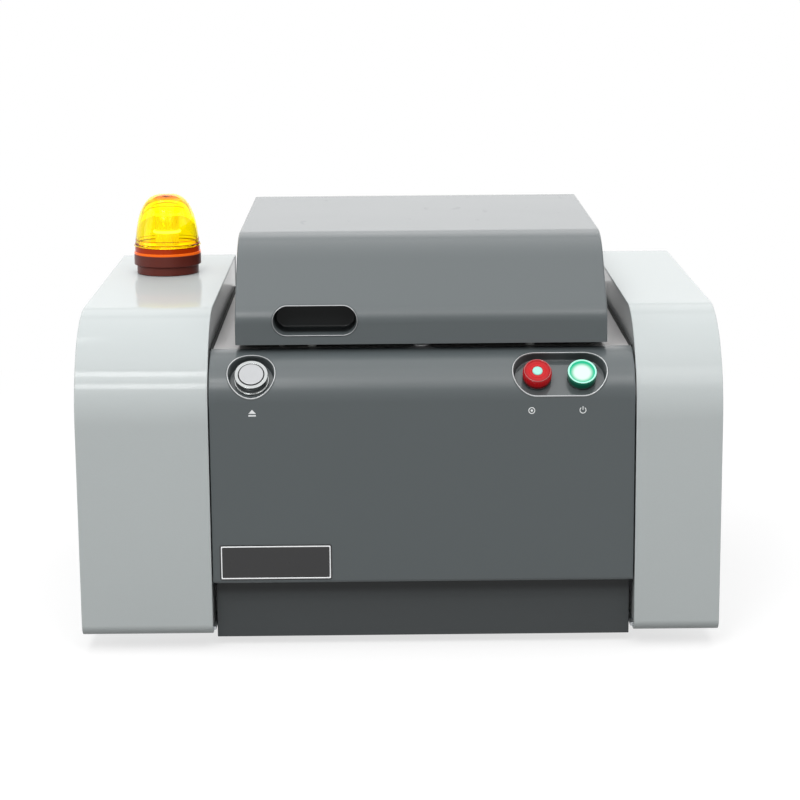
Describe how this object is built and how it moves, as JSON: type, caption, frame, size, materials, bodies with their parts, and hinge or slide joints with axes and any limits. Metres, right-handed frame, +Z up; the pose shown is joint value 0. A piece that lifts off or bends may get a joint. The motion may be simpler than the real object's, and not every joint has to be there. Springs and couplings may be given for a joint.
{
  "type": "x-ray fluorescence analyzer",
  "caption": "Benchtop analyzer with rounded side housings, rolled front panel with push-button and pilot lamps, rear-hinged lid over a sample chamber, and an amber beacon.",
  "frame": {"origin": "on the surface that it stands on, under the centre of its footprint", "axes": "+Z up, -Y towards the front panel, +X to the right as seen from the front"},
  "size_m": [0.55, 0.41, 0.365],
  "materials": {
    "cover_pale": "pale grey gloss powder coat",
    "cover_dark": "dark grey gloss powder coat",
    "black_plastic": "satin",
    "steel": "zinc plated",
    "chrome": "satin and bright chrome",
    "aluminium": "satin",
    "rubber": "matt",
    "buffer": "pale satin",
    "red_lens": "translucent red",
    "green_lens": "lit translucent green",
    "amber_lens": "translucent amber",
    "brown_plastic": "dark brown",
    "circuit_board": "solder mask"
  },
  "bodies": {
    "chassis": {"left_housing_wrap": "cover_pale", "left_side_plate": "cover_pale", "left_cheek_plate": "cover_pale", "right_housing_wrap": "cover_pale", "right_side_plate": "cover_pale", "right_cheek_plate": "cover_pale", "base_plate": "steel", "plinth": "cover_dark", "foot_front_left": "rubber", "foot_front_right": "rubber", "foot_rear_left": "rubber", "foot_rear_right": "rubber", "front_panel": "cover_dark", "button_cup": "cover_dark", "lamp_tray": "cover_dark", "button_bezel": "chrome", "red_lamp_holder": "black_plastic", "red_lamp_lens": "red_lens", "green_lamp_holder": "black_plastic", "green_lamp_lens": "green_lens", "deck": "cover_dark", "deck_rail_left": "black_plastic", "deck_rail_right": "black_plastic", "chamber_tub": "aluminium", "window_ring": "steel", "hinge_bracket_left": "steel", "hinge_pin_left": "steel", "hinge_bracket_right": "steel", "hinge_pin_right": "steel", "lock_magnet": "steel", "interlock_switch": "black_plastic", "optics_block": "aluminium", "xray_tube": "steel", "wheel_motor": "steel", "detector": "aluminium", "hv_supply": "aluminium", "power_supply": "aluminium", "main_board": "circuit_board", "rear_panel": "cover_dark", "fan_frame": "black_plastic", "fan_guard": "steel", "mains_inlet": "black_plastic", "beacon_base": "brown_plastic", "beacon_tower": "buffer", "beacon_lens": "amber_lens"},
    "lid": {"lid_shell": "cover_dark", "handle_cup": "black_plastic", "lid_liner": "aluminium", "lid_gasket": "rubber", "lid_bumper_left": "buffer", "lid_bumper_right": "buffer", "lock_armature": "steel", "hinge_arm_left": "steel", "hinge_arm_right": "steel"},
    "open_button": {"open_button_cap": "chrome"},
    "interlock_plunger": {"interlock_plunger": "buffer"},
    "filter_wheel": {"filter_wheel": "aluminium"},
    "fan_rotor": {"fan_rotor": "black_plastic"},
    "fuse_drawer": {"fuse_drawer": "black_plastic"},
    "mains_rocker": {"mains_rocker": "black_plastic"}
  },
  "joints": [
    {"name": "lid_hinge", "type": "hinge", "parent": "chassis", "child": "lid", "pos_m": [0.01975, 0.191, 0.27], "axis": [-1, 0, 0], "range_deg": [0, 80]},
    {"name": "open_button_press", "type": "slide", "parent": "chassis", "child": "open_button", "axis": [0, 0.7071, -0.7071], "range_m": [0, 0.003], "stiffness_N_per_m": 600, "springref_m": -0.003},
    {"name": "interlock_rise", "type": "slide", "parent": "chassis", "child": "interlock_plunger", "axis": [0, 0, 1], "range_m": [0, 0.003]},
    {"name": "filter_wheel_turn", "type": "hinge", "parent": "chassis", "child": "filter_wheel", "pos_m": [-0.03505, 0.031, 0.1612], "axis": [-0.7071, 0, -0.7071], "continuous": true},
    {"name": "fan_spin", "type": "hinge", "parent": "chassis", "child": "fan_rotor", "pos_m": [0.1205, 0.18, 0.165], "axis": [0, 1, 0], "continuous": true},
    {"name": "fuse_drawer_slide", "type": "slide", "parent": "chassis", "child": "fuse_drawer", "axis": [0, 1, 0], "range_m": [0, 0.015]},
    {"name": "mains_rocker_tilt", "type": "hinge", "parent": "chassis", "child": "mains_rocker", "pos_m": [-0.112, 0.1968, 0.0845], "axis": [-1, 0, 0], "range_deg": [0, 20]}
  ],
  "couplings": [
    {"joint": "interlock_rise", "follows": "lid_hinge", "m_per_rad": 0.00214}
  ]
}
